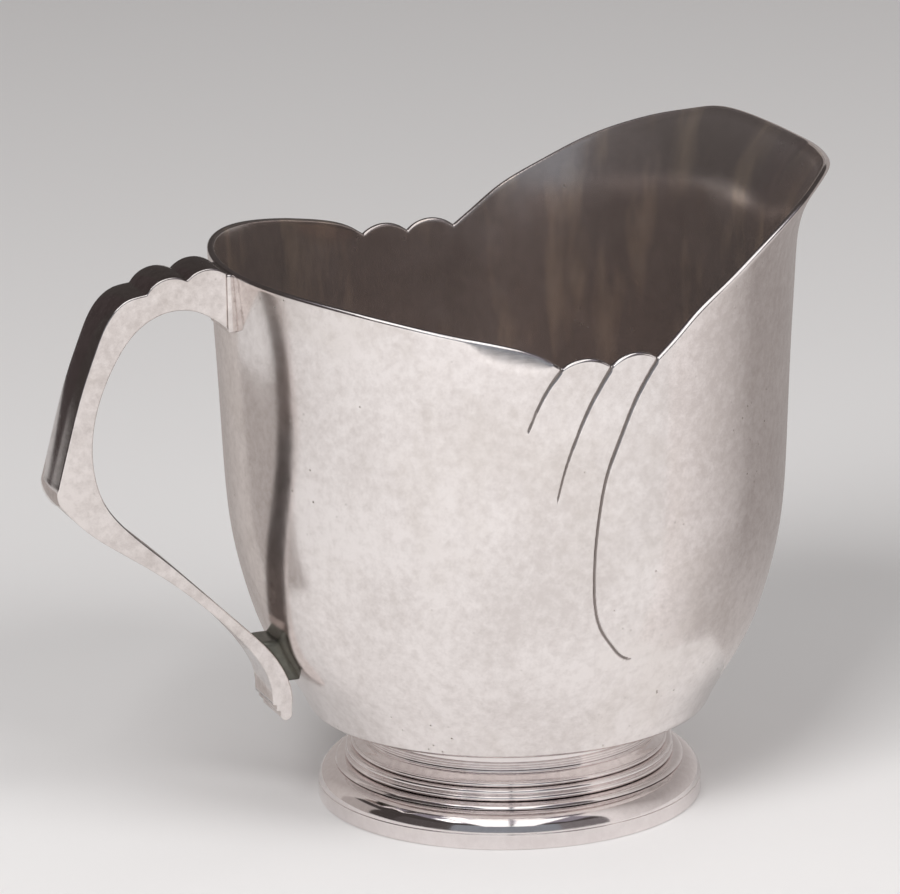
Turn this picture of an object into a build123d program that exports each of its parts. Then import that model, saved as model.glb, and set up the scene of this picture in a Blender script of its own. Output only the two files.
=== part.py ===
"""Silver cream jug: a spun bowl with a scalloped mouth and a raised lip, a flat
cast handle, and a stepped foot of soldered rings.

Units are mm, +Z up.  The origin is the centre of the foot's underside, on the
bowl's axis.  The lip points to +X, the handle to -X.
"""
import os
from math import cos, exp, hypot, pi, sin

from build123d import *

# ---- driving dimensions (mm) ------------------------------------------------
WALL = 1.1                      # gauge of the bowl
SECTION_POINTS = 48             # points round each level section of the bowl

# Outside of the bowl, from the edge of its flat bottom up to the plain mouth.
BOWL_BOTTOM_Z = 14.0
BOWL_BOTTOM_R = 23.6
BOWL_SIDE = [(28.4, 14.4), (30.4, 15.0), (31.1, 16.1), (32.0, 18.0), (34.3, 22.0),
             (36.7, 26.2), (39.0, 32.2), (41.2, 40.7), (42.3, 50.0), (42.9, 62.0),
             (43.65, 76.0)]
LIP_START_Z = 82.0              # above this height the lip turns out
LIP_START_R = 44.0
MOUTH_SLOPE = 0.05              # radius gained for each mm of height at the mouth
LIP_TOP_Z = 101.0               # height of the uncut blank
CUTTER_MARGIN = 30.0            # how far the cut at the mouth runs past the blank

# Turned-out lip: how far its edge stands out from the plain bowl.
LIP_FLARE = 4.9                 # across the front
LIP_FADE_FROM, LIP_FADE_TO = 15.0, 75.0         # degrees from the nose
LIP_NOSE, LIP_NOSE_WIDTH = 1.5, 10.0            # extra at the nose; its width in degrees
LIP_DEPTH = 15.0                # the flare dies away this far below the edge
LIP_PEAK_TURN, LIP_PEAK_Z = 20.0, 98.4          # the edge is highest here, in degrees and mm
LIP_FALL_BACK, LIP_FALL_NOSE = 0.0062, 0.004    # height lost per degree squared either way

# Mouth line, seen from the side as (x, z).  It is the same on both sides.
REAR_RIM = [(-48.0, 87.2), (-44.0, 87.1), (-37.4, 86.5), (-28.6, 84.9),
            (-18.6, 82.7), (-13.1, 81.3), (-9.6, 79.9)]
NOTCHES = [(-7.1, 78.3), (0.45, 78.0), (8.0, 78.3)]
SCALLOP_TOPS = [(-3.2, 79.5), (4.5, 79.6)]
FRONT_RIM = [(11.2, 80.9), (14.9, 84.0), (20.9, 87.7), (27.6, 91.6), (34.6, 94.9),
             (38.4, 96.4), (41.9, 97.6), (45.3, 98.5), (48.0, 98.15), (50.0, 97.45),
             (51.2, 96.9), (54.0, 95.6), (66.0, 90.0)]

# Foot rings, from the table up.
BAND_R, BAND_H, BAND_T = 29.3, 2.45, 1.3
FLANGE_DOME = [(29.15, 3.1), (28.8, 3.95), (28.2, 4.62), (27.5, 5.1), (26.6, 5.3)]
FLANGE_EDGE_R, FLANGE_TOP_Z = 25.9, 5.35        # where the flange meets the ring above
FLANGE_BORE_R, FLANGE_T = 23.4, 1.3
OGEE_LINE = [(26.6, 5.5), (26.42, 5.86), (25.9, 6.12)]
OGEE_TOP_R, OGEE_TOP_Z = 25.3, 6.15
OGEE_BORE_R = 22.6
BEADS = [(25.1, 7.1), (24.95, 8.05)]            # radius and top of each of the two beads
BEAD_GROOVE_R = 24.65
COLLAR_LIP_R, COLLAR_LIP_H = 24.1, 0.8
COLLAR_SLOPE_END = (22.8, 9.8)
REED_R, REED_H, REED_COUNT = 22.65, 0.38, 3
REED_BASE_Z = 10.35
NECK_R = 22.3
RING_BORE_R = 21.4

# Handle: a flat bar, cut to this outline in the plane of the lip and handle.
HANDLE_W = 8.4
TOP_STEPS = [(-44.95, 87.3), (-47.9, 88.25), (-51.1, 86.85),
             (-54.3, 87.45), (-57.5, 85.3)]
HANDLE_BACK = [(-57.5, 85.3), (-60.4, 84.75), (-63.3, 82.3), (-65.4, 78.1),
               (-67.8, 71.8), (-69.8, 65.1), (-71.9, 57.4)]
ELBOW_MID = (-72.1, 55.9)
HANDLE_ARM = [(-71.5, 54.2), (-67.7, 50.1), (-63.0, 46.5), (-56.2, 41.7),
              (-50.4, 36.8), (-44.6, 30.9), (-41.2, 26.4), (-39.6, 22.8), (-39.3, 19.6)]
TAIL_NICKS = [(-39.3, 19.6), (-38.7, 19.5), (-38.75, 18.6), (-38.1, 18.5), (-38.1, 17.5)]
TAIL_TIP = (-37.4, 16.95)
HANDLE_INSIDE = [(-36.4, 18.3), (-36.2, 20.9), (-37.0, 23.9), (-39.3, 27.8),
                 (-43.7, 32.5), (-49.8, 38.6), (-56.1, 44.7), (-61.7, 50.0),
                 (-64.8, 54.2), (-66.3, 59.6), (-66.1, 65.8), (-62.5, 75.4),
                 (-59.0, 79.9), (-54.3, 82.2), (-49.6, 81.8)]
HANDLE_ROOT = (-44.95, 78.6)
SEAT_UPPER_Z = (78.1, 87.0)     # thin seat between the handle's root and the bowl
SEAT_LOWER_Z = (22.6, 29.2)     # seat where the arm rests on the bowl
SEAT_LOWER_W = 6.4
SEAT_LOWER_X = -42.0            # the seat starts inside the arm, and is cut back to it
SEAT_REACH = 12.0               # the seats start this long, and are cut back to the bowl


def bowl_line():
    """Outside of the bowl as one smooth edge, from flat bottom to mouth."""
    points = [(BOWL_BOTTOM_R, BOWL_BOTTOM_Z), *BOWL_SIDE, (LIP_START_R, LIP_START_Z)]
    return Spline(*[(r, 0, z) for r, z in points])


def smooth(t):
    t = min(1.0, max(0.0, t))
    return t * t * (3 - 2 * t)


def mouth_radius(angle, z):
    """Outer radius of the blank above LIP_START_Z; angle is from +X, radians."""
    turn = abs((angle + pi) % (2 * pi) - pi) * 180 / pi
    fade = 1 - smooth((turn - LIP_FADE_FROM) / (LIP_FADE_TO - LIP_FADE_FROM))
    stand_out = LIP_FLARE * fade + LIP_NOSE * exp(-(turn / LIP_NOSE_WIDTH) ** 2)
    off_peak = turn - LIP_PEAK_TURN
    fall = LIP_FALL_BACK if off_peak > 0 else LIP_FALL_NOSE
    edge_z = LIP_PEAK_Z - fall * off_peak ** 2
    rise = max(0.0, 1 - (edge_z - z) / LIP_DEPTH)
    return LIP_START_R + MOUTH_SLOPE * (z - LIP_START_Z) + stand_out * rise ** 3


def inset_mouth_radius(angle, z, inset):
    """The same, moved in by inset square to the wall."""
    step = 0.1
    slope = (mouth_radius(angle, z + step) - mouth_radius(angle, z)) / step
    return mouth_radius(angle, z) - inset * hypot(1, slope)


def level_section(z, radius_at):
    """Closed level face at height z; radius_at gives its outline by angle."""
    angles = [2 * pi * (i + 0.5) / SECTION_POINTS for i in range(SECTION_POINTS)]
    points = [(radius_at(a) * cos(a), radius_at(a) * sin(a), z) for a in angles]
    return make_face(Spline(*points, periodic=True))


def blank(inset):
    """Uncut bowl with its lip as a filled solid, moved inwards by inset."""
    line, steps, levels = bowl_line(), 30, 10
    sections = []
    for i in range(steps):
        share = (i / steps) ** 1.6      # closer together round the bottom corner
        at, along = line @ share, line % share
        r, z = at.X - inset * along.Z, at.Z + inset * along.X
        sections.append(level_section(z, lambda a, r=r: r))
    top = LIP_TOP_Z + 3 * inset
    for k in range(levels + 1):
        z = LIP_START_Z + (top - LIP_START_Z) * k / levels
        sections.append(level_section(z, lambda a, z=z: inset_mouth_radius(a, z, inset)))
    return Solid(Shell(loft(sections).faces()))


def mouth_cutter():
    """Everything above the mouth line, across the whole bowl."""
    rear = Spline(*REAR_RIM, NOTCHES[0])
    waves = [ThreePointArc(a, top, b)
             for a, top, b in zip(NOTCHES, SCALLOP_TOPS, NOTCHES[1:])]
    front = Spline(NOTCHES[-1], *FRONT_RIM)
    above = LIP_TOP_Z + CUTTER_MARGIN
    over = Polyline(FRONT_RIM[-1], (FRONT_RIM[-1][0], above),
                    (REAR_RIM[0][0], above), REAR_RIM[0])
    face = make_face([rear, *waves, front, over])
    return extrude(Plane.XZ * face, amount=LIP_START_R + CUTTER_MARGIN, both=True)


def body_shell():
    return blank(0) - mouth_cutter() - blank(WALL)


def ring(profile):
    """Revolve a closed (r, z) outline made of edges."""
    return revolve(Plane.XZ * make_face(profile), Axis.Z)


def foot_band():
    inner = BAND_R - BAND_T
    return ring([Polyline((inner, 0), (BAND_R, 0), (BAND_R, BAND_H),
                          (inner, BAND_H), close=True)])


def foot_flange():
    start, edge = (BAND_R, BAND_H), (FLANGE_EDGE_R, FLANGE_TOP_Z)
    bottom = FLANGE_TOP_Z - FLANGE_T
    rest = Polyline(edge, (FLANGE_BORE_R, FLANGE_TOP_Z), (FLANGE_BORE_R, bottom),
                    (FLANGE_EDGE_R, bottom), (BAND_R - BAND_T, BAND_H), start)
    return ring([Spline(start, *FLANGE_DOME, edge), rest])


def foot_ogee_ring():
    top = (OGEE_TOP_R, OGEE_TOP_Z)
    rest = Polyline(top, (OGEE_BORE_R, OGEE_TOP_Z), (OGEE_BORE_R, FLANGE_TOP_Z),
                    (FLANGE_EDGE_R, FLANGE_TOP_Z), OGEE_LINE[0])
    line = Spline(*OGEE_LINE, top, tangents=[(0, 1), (-1, 0)])
    return ring([line, rest])


def foot_bead():
    low, lines = OGEE_TOP_Z, []
    for radius, top in BEADS:
        lines.append(ThreePointArc((BEAD_GROOVE_R, low), (radius, (low + top) / 2),
                                   (BEAD_GROOVE_R, top)))
        low = top
    lines.append(Polyline((BEAD_GROOVE_R, low), (RING_BORE_R, low), (RING_BORE_R, OGEE_TOP_Z),
                          (BEAD_GROOVE_R, OGEE_TOP_Z)))
    return ring(lines)


def neck_collar():
    base = BEADS[-1][1]
    lip_top, lip_r = base + COLLAR_LIP_H, COLLAR_LIP_R - COLLAR_LIP_H / 2
    lip = ThreePointArc((lip_r, base), (COLLAR_LIP_R, base + COLLAR_LIP_H / 2), (lip_r, lip_top))
    slope = Polyline((lip_r, lip_top), COLLAR_SLOPE_END, (NECK_R, COLLAR_SLOPE_END[1]),
                     (NECK_R, REED_BASE_Z))
    reeds = []
    for k in range(REED_COUNT):
        z = REED_BASE_Z + k * REED_H
        reeds.append(ThreePointArc((NECK_R, z), (REED_R, z + REED_H / 2), (NECK_R, z + REED_H)))
    cove_z = REED_BASE_Z + REED_COUNT * REED_H
    half_way = (NECK_R + (BOWL_BOTTOM_R - NECK_R) / 8, (cove_z + BOWL_BOTTOM_Z) / 2)
    cove = Spline((NECK_R, cove_z), half_way, (BOWL_BOTTOM_R, BOWL_BOTTOM_Z),
                  tangents=[(0, 1), (1, 0.4)])
    rest = Polyline((BOWL_BOTTOM_R, BOWL_BOTTOM_Z), (RING_BORE_R, BOWL_BOTTOM_Z),
                    (RING_BORE_R, base), (lip_r, base))
    return ring([lip, slope, *reeds, cove, rest])


def handle():
    root_top = TOP_STEPS[0]
    outline = [
        ThreePointArc(root_top, TOP_STEPS[1], TOP_STEPS[2]),
        ThreePointArc(TOP_STEPS[2], TOP_STEPS[3], TOP_STEPS[4]),
        Spline(*HANDLE_BACK),
        ThreePointArc(HANDLE_BACK[-1], ELBOW_MID, HANDLE_ARM[0]),
        Spline(*HANDLE_ARM),
        Polyline(*TAIL_NICKS),
        ThreePointArc(TAIL_NICKS[-1], TAIL_TIP, HANDLE_INSIDE[0]),
        Spline(*HANDLE_INSIDE, HANDLE_ROOT),
        Line(HANDLE_ROOT, root_top),
    ]
    return extrude(Plane.XZ * make_face(outline), amount=HANDLE_W / 2, both=True)


def seat(x, width, z_range):
    """Block from x inwards, into the bowl."""
    low, high = z_range
    block = Box(SEAT_REACH, width, high - low, align=(Align.MIN, Align.CENTER, Align.MIN))
    return Pos(x, 0, low) * block


def handle_seat_upper():
    return seat(HANDLE_ROOT[0], HANDLE_W, SEAT_UPPER_Z) - blank(0)


def handle_seat_lower():
    block = seat(SEAT_LOWER_X, SEAT_LOWER_W, SEAT_LOWER_Z) - blank(0) - handle()
    return block.solids().sort_by(Axis.X)[-1]


def main():
    os.makedirs("parts", exist_ok=True)
    nodes = {
        "body_shell": body_shell(),
        "neck_collar": neck_collar(),
        "foot_bead": foot_bead(),
        "foot_ogee_ring": foot_ogee_ring(),
        "foot_flange": foot_flange(),
        "foot_band": foot_band(),
        "handle": handle(),
        "handle_seat_upper": handle_seat_upper(),
        "handle_seat_lower": handle_seat_lower(),
    }
    for name, shape in nodes.items():
        solids = shape.solids()
        box = shape.bounding_box()
        print(f"{name:20s} solids {len(solids)} valid {shape.is_valid} volume {shape.volume:9.1f} "
              f"x {box.min.X:.2f}..{box.max.X:.2f} y {box.min.Y:.2f}..{box.max.Y:.2f} "
              f"z {box.min.Z:.2f}..{box.max.Z:.2f}")
        export_step(solids[0] if len(solids) == 1 else shape, f"parts/{name}.step")


main()
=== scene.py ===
"""Looks of the silver cream jug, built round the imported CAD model.

Everything is in metres in the CAD frame: +Z up, the lip at +X, the handle at -X,
the origin under the foot on the bowl's axis.  Shape numbers are in millimetres
and go through MM.
"""
import math

import bpy
import numpy as np
from mathutils import Matrix, Vector


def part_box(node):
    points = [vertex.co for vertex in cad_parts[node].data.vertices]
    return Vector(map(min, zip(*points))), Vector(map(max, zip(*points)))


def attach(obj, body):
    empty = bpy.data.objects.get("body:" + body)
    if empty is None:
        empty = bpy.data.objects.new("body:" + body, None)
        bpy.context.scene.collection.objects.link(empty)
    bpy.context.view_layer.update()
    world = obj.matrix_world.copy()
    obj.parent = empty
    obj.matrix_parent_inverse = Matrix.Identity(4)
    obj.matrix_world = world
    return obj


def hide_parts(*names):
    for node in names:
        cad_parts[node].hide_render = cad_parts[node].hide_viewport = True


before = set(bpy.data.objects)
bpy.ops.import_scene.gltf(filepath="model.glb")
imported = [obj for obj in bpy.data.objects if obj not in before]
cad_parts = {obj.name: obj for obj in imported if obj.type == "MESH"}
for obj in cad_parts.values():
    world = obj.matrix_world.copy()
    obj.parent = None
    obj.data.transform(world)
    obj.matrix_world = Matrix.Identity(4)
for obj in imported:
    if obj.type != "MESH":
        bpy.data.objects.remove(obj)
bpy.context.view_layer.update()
MM = 0.001


def box_mm(node):
    """Lowest and highest corner of a CAD node in millimetres."""
    low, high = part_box(node)
    return np.array(low) / MM, np.array(high) / MM


# ---- curves -------------------------------------------------------------------

def natural_spline(points, count):
    """Smooth curve through the points, as count samples (natural cubic)."""
    p = np.array(points, float)
    t = np.concatenate([[0], np.cumsum(np.linalg.norm(np.diff(p, axis=0), axis=1))])
    h = np.diff(t)
    n = len(p)
    a = np.eye(n)
    b = np.zeros_like(p)
    for i in range(1, n - 1):
        a[i, i - 1:i + 2] = h[i - 1], 2 * (h[i - 1] + h[i]), h[i]
        b[i] = 6 * ((p[i + 1] - p[i]) / h[i] - (p[i] - p[i - 1]) / h[i - 1])
    m = np.linalg.solve(a, b)
    u = np.linspace(0, t[-1], count)
    k = np.clip(np.searchsorted(t, u, side="right") - 1, 0, n - 2)
    d, w = (u - t[k])[:, None], h[k][:, None]
    e = w - d
    return (m[k] * e ** 3 + m[k + 1] * d ** 3) / (6 * w) \
        + (p[k] / w - m[k] * w / 6) * e + (p[k + 1] / w - m[k + 1] * w / 6) * d


def b_spline(control, count):
    """Clamped cubic B-spline of a control polygon, as count samples."""
    c = np.array(control, float)
    n = len(c)
    knots = np.concatenate([[0] * 3, np.linspace(0, 1, n - 2), [1] * 3])
    out = []
    for u in np.linspace(0, 1, count):
        k = min(max(int(np.searchsorted(knots, u, side="right")) - 1, 3), n - 1)
        d = [c[k - 3 + j].copy() for j in range(4)]
        for r in range(1, 4):
            for j in range(3, r - 1, -1):
                low, high = knots[j + k - 3], knots[j + 1 + k - r]
                w = (u - low) / (high - low)
                d[j] = (1 - w) * d[j - 1] + w * d[j]
        out.append(d[3])
    return np.array(out)


def arc3(a, b, c, count):
    """Circular arc from a through b to c, as count samples."""
    (ax, ay), (bx, by), (cx, cy) = a, b, c
    d = 2 * (ax * (by - cy) + bx * (cy - ay) + cx * (ay - by))
    sa, sb, sc = ax * ax + ay * ay, bx * bx + by * by, cx * cx + cy * cy
    ox = (sa * (by - cy) + sb * (cy - ay) + sc * (ay - by)) / d
    oy = (sa * (cx - bx) + sb * (ax - cx) + sc * (bx - ax)) / d
    r = math.hypot(ax - ox, ay - oy)
    t0, t1, t2 = (math.atan2(y - oy, x - ox) for x, y in (a, b, c))
    turn = (t2 - t0) % (2 * math.pi)
    if (t1 - t0) % (2 * math.pi) > turn:
        turn -= 2 * math.pi
    t = t0 + turn * np.linspace(0, 1, count)
    return np.stack([ox + r * np.cos(t), oy + r * np.sin(t)], 1)


def corner(centre, radius, start, end, count):
    """Arc by centre and angles in degrees."""
    t = np.radians(np.linspace(start, end, count))
    return np.stack([centre[0] + radius * np.cos(t), centre[1] + radius * np.sin(t)], 1)


def joined(*runs):
    """Point runs joined end to end, without doubled points."""
    out = [np.atleast_2d(np.array(runs[0], float))]
    for run in runs[1:]:
        run = np.atleast_2d(np.array(run, float))
        same = np.linalg.norm(run[0] - out[-1][-1]) < 1e-6
        out.append(run[1:] if same else run)
    return np.concatenate(out)


def evenly(points, step):
    """The same open line with points about step apart, keeping its corners."""
    out = []
    for p, q in zip(points, points[1:]):
        n = max(1, int(round(np.linalg.norm(q - p) / step)))
        out.extend(p + (q - p) * i / n for i in range(n))
    return np.array([*out, points[-1]])


# ---- meshes -------------------------------------------------------------------

def add_piece(name, verts, faces, materials, node, second=None):
    """Smooth-shaded mesh that stands for a CAD node and rides on the jug.

    second tells for each face whether it has the second material.
    """
    mesh = bpy.data.meshes.new(name)
    mesh.from_pydata([tuple(v) for v in np.array(verts) * MM], [], faces)
    mesh.update()
    for material in materials:
        mesh.materials.append(material)
    mesh.polygons.foreach_set("use_smooth", [True] * len(mesh.polygons))
    if second is not None:
        mesh.polygons.foreach_set("material_index", [int(i) for i in second])
    obj = bpy.data.objects.new(name, mesh)
    bpy.context.scene.collection.objects.link(obj)
    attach(obj, "root")
    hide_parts(node)
    return obj


def skin(grid, loop_rows=False, caps=False):
    """Vertices and faces over a grid of (rows, columns, 3) whose columns close up."""
    rows, cols = grid.shape[:2]
    verts = grid.reshape(-1, 3)
    faces = []
    for i in range(rows if loop_rows else rows - 1):
        here, there = i * cols, (i + 1) % rows * cols
        for j in range(cols):
            k = (j + 1) % cols
            faces.append((here + j, here + k, there + k, there + j))
    if caps:
        last = (rows - 1) * cols
        faces.append(tuple(range(cols))[::-1])
        faces.append(tuple(range(last, last + cols)))
    return verts, faces


def lathe(name, outline, material, node, turns=320):
    """Ring turned from a closed (r, z) outline that runs anticlockwise."""
    t = 2 * np.pi * np.arange(turns) / turns
    grid = np.stack([
        outline[:, :1] * np.cos(t), outline[:, :1] * np.sin(t),
        np.repeat(outline[:, 1:], turns, axis=1)], 2)
    verts, faces = skin(grid, loop_rows=True)
    return add_piece(name, verts, faces, [material], node)


# ---- materials ----------------------------------------------------------------

class Nodes:
    """Short way to lay out a node tree."""

    def __init__(self, tree):
        self.tree = tree

    def add(self, kind, **values):
        node = self.tree.nodes.new(kind)
        for key, value in values.items():
            if hasattr(node, key):
                setattr(node, key, value)
            else:
                node.inputs[key.replace("_", " ")].default_value = value
        return node

    def link(self, source, target):
        self.tree.links.new(source, target)
        return target

    def noise(self, vector, scale, detail=3.0, rough=0.55, distortion=0.0):
        node = self.add("ShaderNodeTexNoise", Scale=scale, Detail=detail,
                        Roughness=rough, Distortion=distortion)
        self.link(vector, node.inputs["Vector"])
        return node.outputs["Fac"]

    def stretched(self, vector, scale):
        node = self.add("ShaderNodeMapping", vector_type="POINT")
        node.inputs["Scale"].default_value = scale
        self.link(vector, node.inputs["Vector"])
        return node.outputs["Vector"]

    def span(self, value, low, high, to_low, to_high):
        """Maps low..high to to_low..to_high, clamped."""
        node = self.add("ShaderNodeMapRange", clamp=True)
        for key, number in (("From Min", low), ("From Max", high),
                            ("To Min", to_low), ("To Max", to_high)):
            node.inputs[key].default_value = number
        self.link(value, node.inputs["Value"])
        return node.outputs["Result"]

    def math(self, operation, a, b):
        node = self.add("ShaderNodeMath", operation=operation)
        for socket, value in zip(node.inputs, (a, b)):
            if isinstance(value, (int, float)):
                socket.default_value = value
            else:
                self.link(value, socket)
        return node.outputs["Value"]

    def mix(self, factor, a, b):
        """Colour mix; a and b are colours or sockets."""
        node = self.add("ShaderNodeMix", data_type="RGBA")
        self.link(factor, node.inputs["Factor"])
        for socket, value in ((node.inputs[6], a), (node.inputs[7], b)):    # its two colours
            if isinstance(value, tuple):
                socket.default_value = (*value, 1)
            else:
                self.link(value, socket)
        return node.outputs[2]


def silver(name, light, dark, tarnish, roughness, wear=1.0, reflection_streaks=0.0, dull=0.0):
    """Old silver: cloudy tone, grain, small pits, spin lines and fine random scratches.

    wear scales the marks, reflection_streaks is the strength of the pale upright stripes,
    a painted reflection, and dull is how far the metal is matt with tarnish.
    """
    material = bpy.data.materials.new(name)
    material.use_nodes = True
    tree = material.node_tree
    tree.nodes.clear()
    n = Nodes(tree)
    out = n.add("ShaderNodeOutputMaterial")
    shader = n.add("ShaderNodeBsdfPrincipled", Metallic=1.0 - dull)
    n.link(shader.outputs["BSDF"], out.inputs["Surface"])
    place = n.add("ShaderNodeTexCoord").outputs["Object"]

    clouds = n.noise(place, 48.0, 3.0, 0.55, 0.5)
    mottle = n.noise(place, 650.0, 6.0, 0.75)
    cloudy = n.math("ADD", n.math("MULTIPLY", clouds, 0.4), n.math("MULTIPLY", mottle, 0.6))
    tone = n.mix(n.span(cloudy, 0.40, 0.58, 0.0, 1.0), dark, light)
    stains = n.noise(place, 32.0, 7.0, 0.68, 0.6)
    tone = n.mix(n.span(stains, 0.52, 0.80, 0.0, 0.45 * wear), tone, tarnish)
    # Pale upright stripes up the inside of the bowl: a painted reflection.
    if reflection_streaks:
        tone = n.mix(painted_reflection_streaks(n, place, reflection_streaks), tone, INSIDE_REFLECTION_STREAK)

    cells = n.add("ShaderNodeTexVoronoi", feature="F1", Scale=620.0)
    n.link(place, cells.inputs["Vector"])
    patches = n.span(n.noise(place, 75.0, 4.0, 0.7), 0.54, 0.64, 0.0, 1.0)
    pits = n.math("MULTIPLY", n.span(cells.outputs["Distance"], 0.06, 0.15, wear, 0.0), patches)
    tone = n.mix(n.math("MULTIPLY", pits, 0.8), tone, PIT_DIRT)
    # The engraved lines are coloured darker and made rougher.
    line = n.add("ShaderNodeAttribute", attribute_name="engraving").outputs["Fac"]
    line_dark = n.span(line, 0.05, 0.6, 0.0, 0.85)
    tone = n.mix(line_dark, tone, ENGRAVED_LINE_DARK)
    n.link(tone, shader.inputs["Base Color"])

    spin = n.noise(n.stretched(place, (30.0, 30.0, 2600.0)), 1.0, 2.0, 0.7)
    scratch = n.noise(n.stretched(place, (2200.0, 2200.0, 90.0)), 1.0, 1.0, 0.5, 0.3)
    grain = n.noise(place, 1500.0, 2.0, 0.6)
    haze = n.noise(place, 160.0, 4.0, 0.65)
    rough = n.math("ADD", n.span(haze, 0.3, 0.7, roughness * 0.8, roughness * 1.25),
                   n.span(stains, 0.55, 0.75, 0.0, 0.06))
    rough = n.math("ADD", rough, n.math("MULTIPLY", line_dark, 0.25))
    n.link(n.math("ADD", rough, n.math("MULTIPLY", pits, 0.25)), shader.inputs["Roughness"])

    height = n.math("ADD", n.math("MULTIPLY", spin, 0.5 * wear),
                    n.math("MULTIPLY", scratch, 0.25 * wear))
    height = n.math("ADD", height, n.math("MULTIPLY", grain, 0.35 * wear))
    height = n.math("SUBTRACT", height, n.math("MULTIPLY", pits, 2.5))
    bump = n.add("ShaderNodeBump", Strength=0.25, Distance=0.00002)
    n.link(height, bump.inputs["Height"])
    n.link(bump.outputs["Normal"], shader.inputs["Normal"])
    return material


def painted_reflection_streaks(n, place, amount):
    """Soft pale stripes that run up the inside of the bowl: a painted reflection."""
    parts = n.add("ShaderNodeSeparateXYZ")
    n.link(place, parts.inputs["Vector"])
    angle = n.math("ARCTAN2", parts.outputs["Y"], parts.outputs["X"])
    round_bowl = n.add("ShaderNodeCombineXYZ")
    n.link(angle, round_bowl.inputs["X"])
    n.link(n.math("MULTIPLY", parts.outputs["Z"], 5.0), round_bowl.inputs["Y"])
    return n.span(n.noise(round_bowl.outputs["Vector"], 7.0, 3.0, 0.6), 0.5, 0.68, 0.0, amount)


PIT_DIRT = (0.30, 0.26, 0.23)
# Darker colour along the engraved lines.
ENGRAVED_LINE_DARK = (0.20, 0.165, 0.15)
# Colour of the pale stripes inside the bowl: a painted reflection.
INSIDE_REFLECTION_STREAK = (0.98, 0.84, 0.72)
BODY_SILVER = silver("body_silver", (0.90, 0.855, 0.84), (0.74, 0.69, 0.67),
                     (0.66, 0.60, 0.54), roughness=0.16)
# The inside's silver is a darker copy of the outside's: painted shade inside the bowl.
SHADED_INSIDE_SILVER = silver("shaded_inside_silver", (0.66, 0.59, 0.565), (0.60, 0.535, 0.51),
                       (0.56, 0.47, 0.42), roughness=0.21, wear=0.5, reflection_streaks=0.8, dull=0.07)
FOOT_SILVER = silver("foot_silver", (0.87, 0.82, 0.81), (0.80, 0.745, 0.735),
                     (0.55, 0.46, 0.41), roughness=0.09, wear=0.04)
# The handle's silver is a darker copy of the bowl's: painted shade on the strap and the upper
# seat.
SHADED_HANDLE_SILVER = silver("shaded_handle_silver", (0.80, 0.75, 0.73), (0.60, 0.55, 0.53),
                       (0.50, 0.45, 0.40), roughness=0.13)
# Near-black matt colour of the lower seat: painted shade in the gap between the handle's tail and
# the bowl.
LOWER_SEAT_SHADE = silver("lower_seat_shade", (0.15, 0.15, 0.125), (0.10, 0.10, 0.085),
                     (0.20, 0.19, 0.13), roughness=0.35, wear=0.5, dull=0.4)
# Dark colour of the strap's inside face round the finger gap: painted shade.
FINGER_GAP_SHADE = silver("finger_gap_shade", (0.30, 0.265, 0.25), (0.23, 0.20, 0.19),
                   (0.20, 0.17, 0.14), roughness=0.30, wear=0.5, dull=0.3)


# ---- bowl ---------------------------------------------------------------------

WALL = 1.1
RIM_ROUND = 0.45                # height of the rounded edge of the mouth
# Control points of the bowl's outside as (r, z), from the bottom up.
SIDE_CONTROL = [(23.6, 14.0), (29.3, 14.5), (30.6, 14.8), (31.0, 16.3), (33.2, 20.2),
                (37.3, 26.8), (39.9, 34.8), (42.1, 44.2), (42.7, 57.1), (43.3, 72.5),
                (44.2, 85.2), (44.9, 100.0)]
# The pouring lip turns out at the top; angles are in degrees from its middle.
LIP_FLARE, LIP_FADE_FROM, LIP_FADE_TO = 4.9, 15.0, 75.0
LIP_NOSE, LIP_NOSE_WIDTH = 1.5, 10.0
LIP_DEPTH = 15.0
LIP_PEAK_TURN, LIP_PEAK_Z = 20.0, 98.4
LIP_FALL_BACK, LIP_FALL_NOSE = 0.0062, 0.004        # mm per square degree off the peak
# The edge leans in a little behind the scallops, as if pushed in by a thumb.
DENT, DENT_DEPTH, DENT_FROM_X, DENT_TO_X = 0.48, 3.2, -20.5, -8.5

# The mouth's edge seen from the side, as (x, z), from the handle to the lip.
REAR_RIM = [(-48.0, 87.2), (-44.0, 87.1), (-37.4, 86.5), (-28.6, 84.9),
            (-18.6, 82.7), (-13.1, 81.3), (-9.6, 79.9), (-7.1, 78.3)]
SCALLOPS = [((-7.1, 78.3), (-3.2, 79.5), (0.45, 78.0)), ((0.45, 78.0), (4.5, 79.6), (8.0, 78.3))]
FRONT_RIM = [(8.0, 78.3), (11.2, 80.9), (14.9, 84.0), (20.9, 87.7), (27.6, 91.6), (34.6, 94.9),
             (38.4, 96.4), (41.9, 97.6), (45.3, 98.5), (48.0, 98.15), (50.0, 97.45),
             (51.2, 96.9), (54.0, 95.6)]

# Engraved lines: width at the notch and at the foot of the line, and its path in (x, z).
GROOVE_DEPTH = 0.3
GROOVES = [
    (0.52, 0.28, [(-7.1, 78.3), (-9.5, 74.8), (-11.0, 71.5), (-12.0, 68.9)]),
    (0.58, 0.28, [(0.45, 78.0), (-2.3, 73.5), (-4.8, 67.9), (-6.5, 63.0), (-7.7, 58.1)]),
    (0.58, 0.42, [(8.0, 78.3), (4.7, 73.3), (2.1, 67.5), (-0.1, 61.7), (-1.2, 56.3),
                  (-1.8, 51.3), (-2.0, 45.7), (-1.6, 40.8), (-0.5, 37.2), (1.7, 33.9),
                  (3.9, 31.7), (5.5, 31.2)]),
]
GROOVE_POINT = 0.03             # share of the line over which it ends in a point

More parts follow.
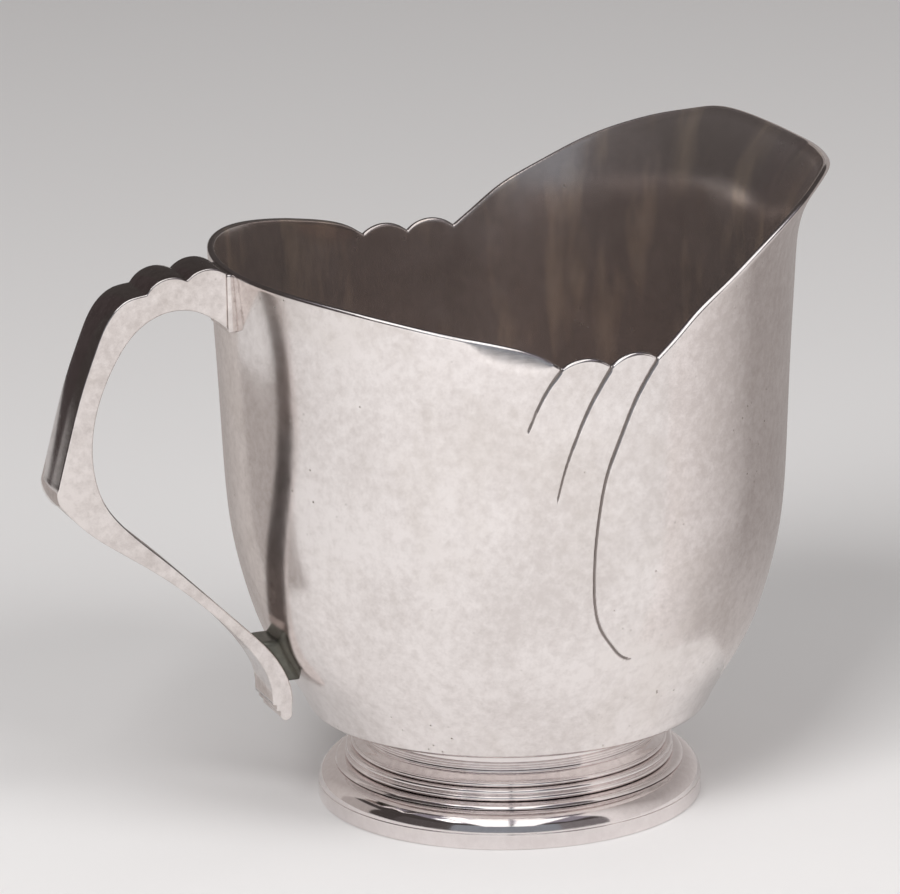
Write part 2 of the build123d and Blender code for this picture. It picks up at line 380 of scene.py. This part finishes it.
NOTCH_R = 43.9                  # the bowl's radius at the notches
EVEN_BELOW_Z = 58.0             # rows are level below this height
ROW_STEP, FINE_ROW_STEP = 0.45, 0.22
FINE_FROM_Z, FINE_TO_Z = 29.0, 38.0     # close rows where an engraved line runs level
FLOOR_RINGS = 8
INNER_STRIDE = 14               # the inside has a row at every so many points of SIDE_LINE

SIDE_LINE = b_spline(SIDE_CONTROL, 1200)
RIM_LINE = joined(natural_spline(REAR_RIM, 160), arc3(*SCALLOPS[0], 40),
                  arc3(*SCALLOPS[1], 40), natural_spline(FRONT_RIM, 240))


def smooth_step(t):
    """Eases from 0 to 1 as t goes from 0 to 1."""
    t = np.clip(t, 0, 1)
    return t * t * (3 - 2 * t)


def outer_radius(angle, z):
    """Outer radius of the bowl; angle is from the lip, in radians."""
    turn = np.degrees(np.abs((angle + np.pi) % (2 * np.pi) - np.pi))
    fade = 1 - smooth_step((turn - LIP_FADE_FROM) / (LIP_FADE_TO - LIP_FADE_FROM))
    stand_out = LIP_FLARE * fade + LIP_NOSE * np.exp(-(turn / LIP_NOSE_WIDTH) ** 2)
    off_peak = turn - LIP_PEAK_TURN
    edge_z = LIP_PEAK_Z - np.where(off_peak > 0, LIP_FALL_BACK, LIP_FALL_NOSE) * off_peak ** 2
    rise = np.clip(1 - (edge_z - z) / LIP_DEPTH, 0, 1.3)
    return np.interp(z, SIDE_LINE[:, 1], SIDE_LINE[:, 0]) + stand_out * rise ** 3


def thumbed(angle, z, radius, edge):
    """The radius with the small dent along the edge of the mouth."""
    along = radius * np.cos(angle)
    share = np.clip((along - DENT_FROM_X) / (DENT_TO_X - DENT_FROM_X), 0, 1)
    strength = np.sin(np.pi * share) ** 0.5
    near = np.clip(1 - (edge - z) / (DENT_DEPTH * strength + 0.01), 0, 1)
    return radius - DENT * strength * near ** 1.3


def rim_height(angle):
    """Height of the mouth's edge at each angle, found by closing in on its x."""
    x = NOTCH_R * np.cos(angle)
    for _ in range(40):
        z = np.interp(x, RIM_LINE[:, 0], RIM_LINE[:, 1])
        x = 0.5 * x + 0.5 * outer_radius(angle, z) * np.cos(angle)
    return np.interp(x, RIM_LINE[:, 0], RIM_LINE[:, 1])


def column_angles():
    """Angles from the lip to the back, closer together across the engraved lines."""
    notches = [math.acos(line[0][0] / NOTCH_R) for _, _, line in reversed(GROOVES)]
    stops = [0, math.radians(70), *notches, math.radians(108), math.pi]
    steps = [1.2, 0.2, 0.2, 0.2, 0.2, 1.2]
    out = []
    for a, b, step in zip(stops, stops[1:], steps):
        n = max(2, int(round(math.degrees(b - a) / step)))
        out.extend(np.linspace(a, b, n, endpoint=False))
    half = np.array(out)
    return np.concatenate([half, 2 * np.pi - np.array([math.pi, *half[:0:-1]])])


def groove_cut(angle, z, radius):
    """How far into an engraved line each point is, from 0 outside to 1 along its middle."""
    along = radius * np.cos(angle)
    depth = np.zeros_like(z)
    for top_width, end_width, line in GROOVES:
        path = natural_spline(line, 90)
        left = np.linspace(1, 0, len(path))
        widths = (end_width + (top_width - end_width) * left) * np.minimum(1, left / GROOVE_POINT)
        for p, q, width in zip(path, path[1:], widths):
            d = q - p
            t = np.clip(((along - p[0]) * d[0] + (z - p[1]) * d[1]) / (d @ d), 0, 1)
            away = np.hypot(along - p[0] - t * d[0], z - p[1] - t * d[1])
            ratio = np.minimum(1, away / (width / 2 + 0.01))
            depth = np.maximum(depth, (1 - ratio ** 2) * min(1, width / end_width))
    return depth


def inward(line, distance):
    """The (r, z) line moved to the inside of the bowl."""
    d = np.gradient(line, axis=0)
    d /= np.linalg.norm(d, axis=1)[:, None]
    return line + distance * np.stack([-d[:, 1], d[:, 0]], 1)


def ring_rows(radii, heights, angles):
    """Rows of points from radii and heights given per row or per row and column."""
    r = np.broadcast_to(radii, (len(radii), len(angles)))
    z = np.broadcast_to(heights, (len(heights), len(angles)))
    return np.stack([r * np.cos(angles), r * np.sin(angles), z], 2)


def level_rows():
    """Points of the outside below EVEN_BELOW_Z, close together at the engraved lines."""
    line = SIDE_LINE[SIDE_LINE[:, 1] < EVEN_BELOW_Z]
    keep = [0]
    for i in range(1, len(line)):
        fine = FINE_FROM_Z < line[i][1] < FINE_TO_Z
        if np.linalg.norm(line[i] - line[keep[-1]]) >= (FINE_ROW_STEP if fine else ROW_STEP):
            keep.append(i)
    return line[keep]


def bowl_radius(angles, z, shoulder):
    """Outer radius of the bowl with the dent, at rows of heights."""
    return thumbed(angles[None], z, outer_radius(angles[None], z), shoulder[None])


def make_bowl():
    angles = column_angles()
    columns = len(angles)
    shoulder = rim_height(angles) - RIM_ROUND
    low = level_rows()
    floor_share = np.linspace(0.02, 0.96, FLOOR_RINGS)[:, None]

    # Outside: the bottom, then the side up to the shoulder of the mouth's edge.
    rows = [ring_rows(floor_share * low[0, 0], np.full((FLOOR_RINGS, 1), low[0, 1]), angles)]
    engraved = [np.zeros((FLOOR_RINGS, columns))]
    rise = np.linspace(0, 1, 64)[1:, None]
    z = np.concatenate([np.repeat(low[:, 1:], columns, axis=1),
                        EVEN_BELOW_Z + (shoulder - EVEN_BELOW_Z) * rise])
    r = bowl_radius(angles, z, shoulder)
    engraved.append(groove_cut(angles[None], z, r))
    rows.append(ring_rows(r - GROOVE_DEPTH * engraved[-1], z, angles))

    # The rounded edge, where the engraved lines run out over the top.
    edge_r = thumbed(angles, shoulder, outer_radius(angles, shoulder), shoulder)
    turn = np.radians(np.linspace(0, 180, 12))[1:, None]
    cut = engraved[-1][-1] * (1 + np.cos(turn)) / 2
    rows.append(ring_rows(
        edge_r - WALL / 2 + WALL / 2 * np.cos(turn) - GROOVE_DEPTH * cut,
        shoulder + RIM_ROUND * np.sin(turn), angles))
    engraved.append(cut)
    outside_rows = sum(len(x) for x in rows) - 5        # up to the top of the edge

    # Inside: down the side to the bottom.
    fall = np.linspace(1, 0, 40)[1:, None]
    z = EVEN_BELOW_Z + (shoulder - EVEN_BELOW_Z) * fall
    rows.append(ring_rows(bowl_radius(angles, z, shoulder) - WALL, z, angles))
    inner = inward(SIDE_LINE, WALL)
    inner = inner[inner[:, 1] < EVEN_BELOW_Z - 1][::-INNER_STRIDE]
    rows.append(ring_rows(inner[:, :1], inner[:, 1:], angles))
    rows.append(ring_rows(floor_share[::-1] * inner[-1, 0],
                          np.full((FLOOR_RINGS, 1), inner[-1, 1]), angles))

    verts, faces = skin(np.concatenate(rows), caps=True)
    inside = [i // columns >= outside_rows for i in range(len(faces))]
    inside[-2] = False          # the cap of the outside's bottom
    bowl = add_piece("bowl", verts, faces, [BODY_SILVER, SHADED_INSIDE_SILVER], "body_shell",
                     inside)
    depth = np.zeros(len(verts))
    cut = np.concatenate(engraved).ravel()
    depth[:len(cut)] = cut
    layer = bowl.data.attributes.new("engraving", "FLOAT", "POINT")
    layer.data.foreach_set("value", depth)


# ---- foot ---------------------------------------------------------------------

# Radii, heights and outlines (r, z) of the foot rings, from the table up.
PLATE = 1.3                     # thickness of the foot's band and of its domed plate
BAND_EDGE, BAND_TOP_EDGE = 0.25, 0.1
FLANGE_SET_BACK, FLANGE_EDGE = 0.03, 0.1
FLANGE_DOME = [(29.27, 2.62), (29.2, 3.0), (28.85, 3.9), (28.22, 4.62), (27.5, 5.08),
               (26.6, 5.3), (25.9, 5.35)]
FLANGE_BORE = 23.4
OGEE_LINE = [(26.6, 5.55), (26.42, 5.86), (25.9, 6.12), (25.3, 6.15)]
OGEE_BORE, OGEE_SEAT_R = 22.6, 25.9
OGEE_EDGE, OGEE_EDGE_CENTRE = 0.12, (26.48, 5.52)
BEADS = [(25.1, 6.15, 7.1), (24.95, 7.1, 8.05)]         # crest radius, low and high edge
BEAD_GROOVE_R, BEAD_BODY_R = 24.65, 24.4
COLLAR_LIP = 0.4
NECK_SLOPE = [(23.78, 8.84), (23.3, 9.26), (22.85, 9.72), (22.75, 9.8)]
NECK_R, NECK_BASE = 22.3, 9.8
NECK_TOP = [(NECK_R, 11.52), (NECK_R, 12.4), (22.8, 13.5)]
NECK_TOP_R = 23.6
REED_BASE, REED_HEIGHT, REED_DEPTH, REED_COUNT = 10.35, 0.38, 0.35, 3
BORE = 21.4
SEAM = 0.02                     # flat left beside a moulding, where it meets the next


def make_foot_band():
    r, _, h = box_mm("foot_band")[1]
    inside = r - PLATE
    lathe("foot_band_ring", joined(
        [(inside, 0.0)],
        corner((r - BAND_EDGE, BAND_EDGE), BAND_EDGE, -90, 0, 5),
        corner((r - BAND_TOP_EDGE, h - BAND_TOP_EDGE), BAND_TOP_EDGE, 0, 90, 5),
        [(inside, h), (inside, h / 2), (inside, 0.3)]), FOOT_SILVER, "foot_band")


def make_foot_flange():
    band_r, _, band_h = box_mm("foot_band")[1]
    top = box_mm("foot_flange")[1][2]
    bottom = top - PLATE
    edge_r = band_r - FLANGE_SET_BACK - FLANGE_EDGE
    lathe("foot_flange_plate", joined(
        [(band_r - PLATE, band_h), (band_r - 0.2, band_h)],
        corner((edge_r, band_h + FLANGE_EDGE), FLANGE_EDGE, -90, 0, 6),
        natural_spline(FLANGE_DOME, 44),
        [(FLANGE_BORE, top), (FLANGE_BORE, bottom), (OGEE_SEAT_R, bottom)]),
          FOOT_SILVER, "foot_flange")


def make_foot_ogee():
    low, high = box_mm("foot_ogee_ring")
    lathe("foot_ogee_step", joined(
        [(OGEE_BORE, low[2]), (OGEE_SEAT_R, low[2])],
        corner(OGEE_EDGE_CENTRE, OGEE_EDGE, -80, 0, 6),
        natural_spline(OGEE_LINE, 24), [(OGEE_BORE, high[2])]), FOOT_SILVER, "foot_ogee_ring")


def make_foot_beads():
    low, high = box_mm("foot_bead")
    beads = [arc3((BEAD_GROOVE_R, start + SEAM), (crest, (start + end) / 2),
                  (BEAD_GROOVE_R, end - SEAM), 16)
             for crest, start, end in BEADS]
    lathe("foot_bead_ring", joined(
        [(BORE, low[2]), (BEAD_BODY_R, low[2])], *beads,
        [(BEAD_BODY_R, high[2]), (BORE, high[2])]), FOOT_SILVER, "foot_bead")


def make_neck_collar():
    low, high = box_mm("neck_collar")
    r = high[0] - COLLAR_LIP
    reeds = [arc3((NECK_R, z + SEAM), (NECK_R + REED_DEPTH, z + REED_HEIGHT / 2),
                  (NECK_R, z + REED_HEIGHT - SEAM), 10)
             for z in REED_BASE + REED_HEIGHT * np.arange(REED_COUNT)]
    lathe("neck_collar_ring", joined(
        [(BORE, low[2]), (r, low[2])],
        corner((r, low[2] + COLLAR_LIP), COLLAR_LIP, -90, 85, 14),
        natural_spline(NECK_SLOPE, 16), [(NECK_R, NECK_BASE)], *reeds,
        natural_spline([*NECK_TOP, (NECK_TOP_R, high[2] - SEAM)], 14),
        [(BORE, high[2])]), FOOT_SILVER, "neck_collar")


def make_foot():
    make_foot_band()
    make_foot_flange()
    make_foot_ogee()
    make_foot_beads()
    make_neck_collar()


# ---- handle -------------------------------------------------------------------

# The strap seen from the side, as (x, z): the stepped top, down its back, round the
# elbow, along the underside of the arm to the nicked tail, and up the inside.
TOP_STEPS = [(-44.95, 87.3), (-47.9, 88.25), (-51.1, 86.85), (-54.3, 87.45), (-57.5, 85.3)]
HANDLE_BACK = [(-57.5, 85.3), (-60.4, 84.75), (-63.3, 82.3), (-65.4, 78.1),
               (-67.8, 71.8), (-69.8, 65.1), (-71.9, 57.4)]
ELBOW = [(-71.9, 57.4), (-72.1, 55.9), (-71.5, 54.2)]
HANDLE_ARM = [(-71.5, 54.2), (-67.7, 50.1), (-63.0, 46.5), (-56.2, 41.7), (-50.4, 36.8),
              (-44.6, 30.9), (-41.2, 26.4), (-39.6, 22.8), (-39.3, 19.6)]
TAIL_NICKS = [(-39.3, 19.6), (-38.7, 19.5), (-38.75, 18.6), (-38.1, 18.5), (-38.1, 17.5)]
TAIL_TIP = [(-38.1, 17.5), (-37.4, 16.95), (-36.4, 18.3)]
HANDLE_INSIDE = [(-36.4, 18.3), (-36.2, 20.9), (-37.0, 23.9), (-39.3, 27.8), (-43.7, 32.5),
                 (-49.8, 38.6), (-56.1, 44.7), (-61.7, 50.0), (-64.8, 54.2), (-66.3, 59.6),
                 (-66.1, 65.8), (-62.5, 75.4), (-59.0, 79.9), (-54.3, 82.2), (-49.6, 81.8),
                 (-44.95, 78.6)]
HANDLE_EDGE = 0.25              # rounding of the strap's edges
TAIL_TOP_Z, TAIL_EDGE = 20.5, 0.1       # the nicked tail is sharper
CROWN = 0.3                     # how far the outside of the strap bulges
CROWN_FROM_X, CROWN_FADE = -46.0, 4.0
FINGER_LOW_Z = 30.0             # the strap's inside face is painted dark round the finger gap above this: painted shade


def outline_normals(outline):
    """Unit vectors pointing out of a closed outline that runs anticlockwise."""
    d = np.roll(outline, -1, axis=0) - np.roll(outline, 1, axis=0)
    d /= np.maximum(np.linalg.norm(d, axis=1), 1e-9)[:, None]
    return np.stack([d[:, 1], -d[:, 0]], 1)


def handle_outline():
    """The strap's outline, with the point counts up to the elbow and up to the inside."""
    back = joined(
        arc3(*TOP_STEPS[:3], 24), arc3(*TOP_STEPS[2:], 28), natural_spline(HANDLE_BACK, 70),
        arc3(*ELBOW, 12))
    under = joined(back, natural_spline(HANDLE_ARM, 110), evenly(np.array(TAIL_NICKS), 0.2),
                   arc3(*TAIL_TIP, 14))
    outline = joined(under, natural_spline(HANDLE_INSIDE, 190),
                     evenly(np.array([HANDLE_INSIDE[-1], TOP_STEPS[0]]), 0.4))[:-1]
    return outline, len(back), len(under)


def make_handle():
    low, high = box_mm("handle")
    half = (high[1] - low[1]) / 2
    outline, back_count, inside_start = handle_outline()
    count = len(outline)
    normals = outline_normals(outline)
    edge = np.where(outline[:, 1] < TAIL_TOP_Z, TAIL_EDGE, HANDLE_EDGE)
    bulge = CROWN * smooth_step((CROWN_FROM_X - outline[:, 0]) / CROWN_FADE)
    crown = np.where(np.arange(count) < back_count, bulge, 0)

    # Sections across the strap: one rounded edge, the face and the other rounded edge.
    turns = np.radians(np.linspace(0, 90, 6))
    sections = [(edge * (1 - math.cos(t)) - half, edge * (1 - math.sin(t))) for t in turns]
    sections += [(share * (half - edge), -crown * (1 - share ** 2))
                 for share in np.linspace(-1, 1, 15)[1:-1]]
    sections += [(half - edge * (1 - math.cos(t)), edge * (1 - math.sin(t)))
                 for t in turns[::-1]]
    rows = []
    for y, inset in sections:
        line = outline - normals * inset[:, None]
        rows.append(np.stack([line[:, 0], y, line[:, 1]], 1))
    verts, faces = skin(np.array(rows), caps=True)

    # Faces of the strap's inside round the finger gap take the dark colour: painted shade.
    finger = (np.arange(count) > inside_start) & (outline[:, 1] > FINGER_LOW_Z)
    flat = range(len(turns), len(rows) - len(turns))
    dull = [i // count in flat and finger[i % count] for i in range(len(faces))]
    strap = add_piece("handle_strap", verts, faces, [SHADED_HANDLE_SILVER, FINGER_GAP_SHADE], "handle",
                      dull)
    for side in strap.data.polygons[-2:]:
        side.use_smooth = False


# Sections of a seat: size and share of the way from the bowl to the handle.
SEAT_SECTIONS = [(0.4, 0), (1, 0), (1, 0.5), (1, 0.85), (0.985, 0.95), (0.95, 1), (0.4, 1)]
SEAT_SINK = 0.15                # how far a seat reaches into the bowl's side


def make_seat(name, node, front_x, corner_radius, material):
    """Soldered seat: a rounded block from the bowl's side out to front_x(z)."""
    (_, _, low), (_, half_width, high) = box_mm(node)
    r = corner_radius
    outline = joined(
        corner((half_width - r, high - r), r, 0, 90, 6),
        corner((-half_width + r, high - r), r, 90, 180, 6),
        corner((-half_width + r, low + r), r, 180, 270, 6),
        corner((half_width - r, low + r), r, 270, 360, 6))
    outline = evenly(np.array([*outline, outline[0]]), 0.5)[:-1]
    centre = outline.mean(0)
    grid = []
    for size, depth in SEAT_SECTIONS:
        y, z = (centre + (outline - centre) * size).T
        bowl_r = np.interp(z, SIDE_LINE[:, 1], SIDE_LINE[:, 0])
        back = -np.sqrt(bowl_r ** 2 - y ** 2) + SEAT_SINK
        x = back + (front_x(z) - back) * depth
        grid.append(np.stack([x, y, z], 1))
    verts, faces = skin(np.array(grid), caps=True)
    add_piece(name, verts, faces, [material], node)


def make_seats():
    root_x = box_mm("handle_seat_upper")[0][0]
    make_seat("upper_seat", "handle_seat_upper", lambda z: np.full_like(z, root_x), 0.3,
              SHADED_HANDLE_SILVER)
    arm = natural_spline(HANDLE_INSIDE, 300)
    arm = arm[(arm[:, 1] < 40) & (arm[:, 0] > -50)]         # its lower end, where z rises
    # The lower seat takes the painted shade colour.
    make_seat("lower_seat", "handle_seat_lower", lambda z: np.interp(z, arm[:, 1], arm[:, 0]),
              0.8, LOWER_SEAT_SHADE)


# ---- studio -------------------------------------------------------------------

AZIMUTH, ELEVATION, ROLL = 20.175, 16.133, 0.95     # of the camera, in degrees
CAMERA_TARGET_MM, CAMERA_DISTANCE, CAMERA_LENS = (-7.76, 2.85, 54.45), 1.116, 295.2


def plain_material(name, colour, roughness=0.9):
    """Matt surface of one colour."""
    material = bpy.data.materials.new(name)
    material.use_nodes = True
    shader = material.node_tree.nodes["Principled BSDF"]
    shader.inputs["Base Color"].default_value = (*colour, 1)
    shader.inputs["Roughness"].default_value = roughness
    return material


def glow_material(name, colour, strength, end_colour=None):
    """Plain glow, or one that runs to end_colour along the sheet."""
    material = bpy.data.materials.new(name)
    material.use_nodes = True
    tree = material.node_tree
    tree.nodes.clear()
    n = Nodes(tree)
    out = n.add("ShaderNodeOutputMaterial")
    glow = n.add("ShaderNodeEmission", Color=(*colour, 1), Strength=strength)
    if end_colour:
        share = n.add("ShaderNodeAttribute", attribute_name="share").outputs["Fac"]
        n.link(n.mix(share, colour, end_colour), glow.inputs["Color"])
    n.link(glow.outputs["Emission"], out.inputs["Surface"])
    return material


def stage_sheet(name, points, material):
    """Four-cornered sheet of the studio, which is no part of the jug."""
    mesh = bpy.data.meshes.new(name)
    mesh.from_pydata(points, [], [(0, 1, 2, 3)])
    mesh.materials.append(material)
    obj = bpy.data.objects.new(name, mesh)
    bpy.context.scene.collection.objects.link(obj)
    return obj


def reflected(obj):
    """Leaves a sheet visible in reflections only."""
    obj.visible_camera = False
    obj.visible_diffuse = False
    obj.visible_shadow = False


# How much of a sheet's end colour each corner has: start and end at its foot, then end
# and start at its top.
ALONG = (0.0, 1.0, 1.0, 0.0)
UPWARD = (0.65, 0.65, 1.0, 1.0)
UPWARD_ALONG = (0.0, 0.65, 1.0, 0.0)


def screen(name, start, end, low, high, colour, strength=1.0, end_colour=None, shares=ALONG):
    """Upright glowing sheet over the line from start to end, seen in reflections only."""
    (x0, y0), (x1, y1) = start, end
    points = [(x0, y0, low), (x1, y1, low), (x1, y1, high), (x0, y0, high)]
    glow = glow_material(name + "_glow", colour, strength, end_colour)
    sheet = stage_sheet(name, points, glow)
    share = sheet.data.attributes.new("share", "FLOAT", "POINT")
    share.data.foreach_set("value", shares)
    reflected(sheet)


def ceiling(name, height, left, right, back, front, colour, strength=1.0):
    """Level glowing sheet overhead, turned to the camera's azimuth."""
    turn = math.radians(AZIMUTH)
    ahead = np.array([math.sin(turn), math.cos(turn)])
    across = np.array([math.cos(turn), -math.sin(turn)])
    points = [(*(across * x + ahead * y), height)
              for x, y in ((left, back), (right, back), (right, -front), (left, -front))]
    reflected(stage_sheet(name, points, glow_material(name + "_glow", colour, strength)))


def bearing(degrees, distance):
    """Point on the floor plan at an angle from +X."""
    turn = math.radians(degrees)
    return distance * math.cos(turn), distance * math.sin(turn)


def soft_light(name, place, target, size, power):
    """Square lamp aimed at target, which does not show in reflections."""
    light = bpy.data.lights.new(name, "AREA")
    light.shape = "SQUARE"
    light.size = size
    light.energy = power
    obj = bpy.data.objects.new(name, light)
    obj.location = place
    aim = Vector(place) - Vector(target)
    obj.rotation_euler = aim.to_track_quat("Z", "Y").to_euler()
    obj.visible_glossy = False
    bpy.context.scene.collection.objects.link(obj)


WHITE = (1.0, 1.0, 1.0)
# Glow tones of the cards near the jug: the floor out of and in the jug's shadow, a painted
# reflection of that shadow.
PALE = (0.88, 0.84, 0.83)
RIGHT_DIM = (0.365, 0.335, 0.325)
LEFT_PALE = (0.58, 0.54, 0.52)
LEFT_DIM = (0.42, 0.385, 0.37)
RIGHT_CARD_R, RIGHT_CARD_FOOT, RIGHT_CARD_TOP = 0.07, 0.034, 0.11
LEFT_CARD_R, LEFT_CARD_TOP = 0.075, 0.08


def make_studio():
    side, front, back = 2.5, -2.5, 1.5
    stage_sheet("floor", [(-side, front, 0), (side, front, 0), (side, back, 0), (-side, back, 0)],
                plain_material("floor_paper", (0.84, 0.825, 0.82)))
    world = bpy.data.worlds.new("studio_air")
    bpy.context.scene.world = world
    world.use_nodes = True
    air = world.node_tree.nodes["Background"]
    air.inputs["Color"].default_value = (0.060, 0.052, 0.050, 1)
    air.inputs["Strength"].default_value = 1.0

    soft_light("key", (-0.75, -0.75, 0.95), (0, 0, 0.05), 0.6, 14)
    soft_light("fill", (0.50, -0.95, 0.95), (0, 0, 0.05), 0.6, 8.5)
    soft_light("overhead", (0.0, 0.0, 1.5), (0, 0, 0), 1.5, 5.5)


def make_room():
    """What the silver mirrors: lamps overhead and dim walls beyond the table."""
    ceiling("room_ceiling", 1.6, -1.3, 1.3, 0.6, 1.6, (0.27, 0.25, 0.29))
    ceiling("left_strip", 1.2, -0.60, -0.02, 0.30, 2.0, WHITE, 1.5)
    ceiling("right_strip", 1.2, 0.05, 0.52, 0.30, 2.0, WHITE, 1.4)
    ceiling("left_lamp", 1.2, -0.88, -0.66, -0.50, 1.0, WHITE, 2.5)
    screen("front_room", (-2.2, -1.5), (0.4, -2.4), 0.02, 1.5, (0.26, 0.28, 0.31))
    screen("left_room", (-2.4, 0.1), (-2.2, -1.5), 0.02, 1.5, (0.09, 0.08, 0.08))
    screen("right_room", (0.4, -2.4), (2.0, -1.8), 0.02, 1.5, (0.20, 0.185, 0.19))


def make_cards():
    """Cards round the jug, which darken its sides as they turn away. The near cards glow in the
    tones of the floor in and out of the jug's soft shadow: a painted reflection of that shadow.
    """
    start, turned, end = (bearing(angle, RIGHT_CARD_R) for angle in (298, 336, 50))
    foot, top = RIGHT_CARD_FOOT, RIGHT_CARD_TOP
    screen("right_turn", start, turned, foot, top, PALE, 1.0, RIGHT_DIM)
    screen("right_turn_foot", start, turned, 0.0, foot, PALE, 1.0, RIGHT_DIM, UPWARD_ALONG)
    screen("right_shadow_card", turned, end, foot, top, RIGHT_DIM)
    screen("right_shadow_card_foot", turned, end, 0.0, foot, PALE, 1.0, RIGHT_DIM, UPWARD)

    start, turned, end = (bearing(angle, LEFT_CARD_R) for angle in (150, 125, 85))
    screen("left_turn", start, turned, 0.0, LEFT_CARD_TOP, LEFT_PALE, 1.0, LEFT_DIM)
    screen("left_shadow_card", turned, end, 0.0, LEFT_CARD_TOP, LEFT_DIM)
    screen("left_low", bearing(170, 0.10), bearing(140, 0.10), 0.0, 0.05, LEFT_DIM)
    screen("left_dark", bearing(128, 0.40), bearing(104, 0.40), 0.02, 0.40, (0.06, 0.048, 0.048))


def make_camera():
    """Camera at the photograph's viewing angle, slightly rolled as it was."""
    azimuth, elevation, roll = (math.radians(a) for a in (AZIMUTH, ELEVATION, ROLL))
    target = Vector(CAMERA_TARGET_MM) * MM
    forward = Vector((math.sin(azimuth) * math.cos(elevation),
                      math.cos(azimuth) * math.cos(elevation), -math.sin(elevation)))
    right = Vector((math.cos(azimuth), -math.sin(azimuth), 0))
    up = right.cross(forward)
    right, up = (right * math.cos(roll) - up * math.sin(roll),
                 right * math.sin(roll) + up * math.cos(roll))
    data = bpy.data.cameras.new("camera")
    data.sensor_width = 36
    data.lens = CAMERA_LENS
    data.clip_end = 20
    camera = bpy.data.objects.new("camera", data)
    turn = Matrix((right, up, -forward)).transposed().to_4x4()
    camera.matrix_world = Matrix.Translation(target - forward * CAMERA_DISTANCE) @ turn
    bpy.context.scene.collection.objects.link(camera)
    bpy.context.scene.camera = camera


make_bowl()
make_foot()
make_handle()
make_seats()
make_studio()
make_room()
make_cards()
make_camera()

bpy.context.scene.view_settings.view_transform = "Standard"
